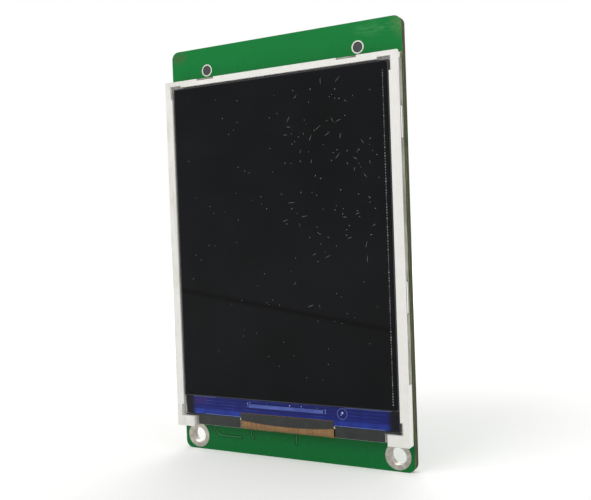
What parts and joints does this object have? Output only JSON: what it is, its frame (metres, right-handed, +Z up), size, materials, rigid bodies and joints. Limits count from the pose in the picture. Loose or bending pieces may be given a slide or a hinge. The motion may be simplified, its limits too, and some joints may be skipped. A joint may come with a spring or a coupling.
{
  "type": "tft display module",
  "caption": "Portrait colour display panel in a white frame on a green circuit board with a pin header, wire sockets, a flex tail in a latched connector and two plated mounting holes.",
  "frame": {"origin": "midway between the two plated mounting holes, on the front face of the circuit board", "axes": "+X to the right seen from the screen, +Z up along the long side of the board, the screen looks toward -Y"},
  "size_m": [0.05, 0.0129, 0.0815],
  "materials": {
    "green_mask_laminate": "glass-fibre laminate under a glossy green solder mask",
    "masked_copper": "copper conductors under the same green mask",
    "tinned_copper": "tin-plated copper",
    "solder": "reflowed solder, satin to bright",
    "black_insulator": "moulded black insulator, fine matt",
    "gold_pin": "gold-flashed brass",
    "cream_housing": "moulded cream nylon",
    "grey_housing": "moulded dark grey plastic",
    "tan_latch": "moulded pinkish brown plastic",
    "chip_resin": "moulded epoxy, fine matt",
    "capacitor_ceramic": "sintered tan ceramic",
    "resistor_glaze": "black glazed ceramic",
    "tray_steel": "thin rolled steel",
    "white_frame": "moulded white polycarbonate",
    "silver_film": "silvered reflector film",
    "clear_acrylic": "clear moulded acrylic",
    "white_film": "translucent white diffusing film",
    "prism_film": "clear ribbed film",
    "black_tape": "black adhesive tape",
    "amber_flex": "copper-clad polyimide flex",
    "led_package": "white package with yellow phosphor",
    "polarizer": "dark polarizing film",
    "display_glass": "thin display glass with black matrix",
    "driver_silicon": "polished silicon under varnish",
    "blue_varnish": "clear blue varnish over fine conductors",
    "adhesive_foam": "double-sided adhesive tape"
  },
  "bodies": {
    "module": {"circuit_board": "green_mask_laminate", "hole_plating": "tinned_copper", "rear_traces": "masked_copper", "front_traces": "masked_copper", "part_lands": "tinned_copper", "header_body": "black_insulator", "header_pins": "gold_pin", "header_solder": "solder", "socket_left": "cream_housing", "socket_left_contacts": "gold_pin", "socket_left_tabs": "tinned_copper", "socket_right": "cream_housing", "socket_right_contacts": "gold_pin", "socket_right_tabs": "tinned_copper", "flex_connector": "grey_housing", "flex_connector_contacts": "gold_pin", "flex_connector_anchors": "tinned_copper", "touch_controller": "chip_resin", "touch_controller_leads": "tinned_copper", "transistor": "chip_resin", "transistor_leads": "tinned_copper", "capacitors": "capacitor_ceramic", "resistors": "resistor_glaze", "chip_terminals": "solder", "steel_tray": "tray_steel", "display_frame": "white_frame", "reflector_film": "silver_film", "light_guide": "clear_acrylic", "diffuser_film": "white_film", "prism_film_rear": "prism_film", "prism_film_front": "prism_film", "rim_tape": "black_tape", "led_strip": "amber_flex", "backlight_leds": "led_package", "rear_polarizer": "polarizer", "array_glass": "display_glass", "filter_glass": "display_glass", "front_polarizer": "polarizer", "driver_chip": "driver_silicon", "ledge_coating": "blue_varnish", "light_shields": "black_tape", "display_flex": "amber_flex", "flex_stiffener": "tan_latch", "mounting_tape": "adhesive_foam"},
    "latch": {"flex_latch": "tan_latch"}
  },
  "joints": [
    {"name": "latch_flip", "type": "hinge", "parent": "module", "child": "latch", "pos_m": [-0.01965, 0.00317, 0.0145], "axis": [0, 0, -1], "range_deg": [0, 90]}
  ]
}
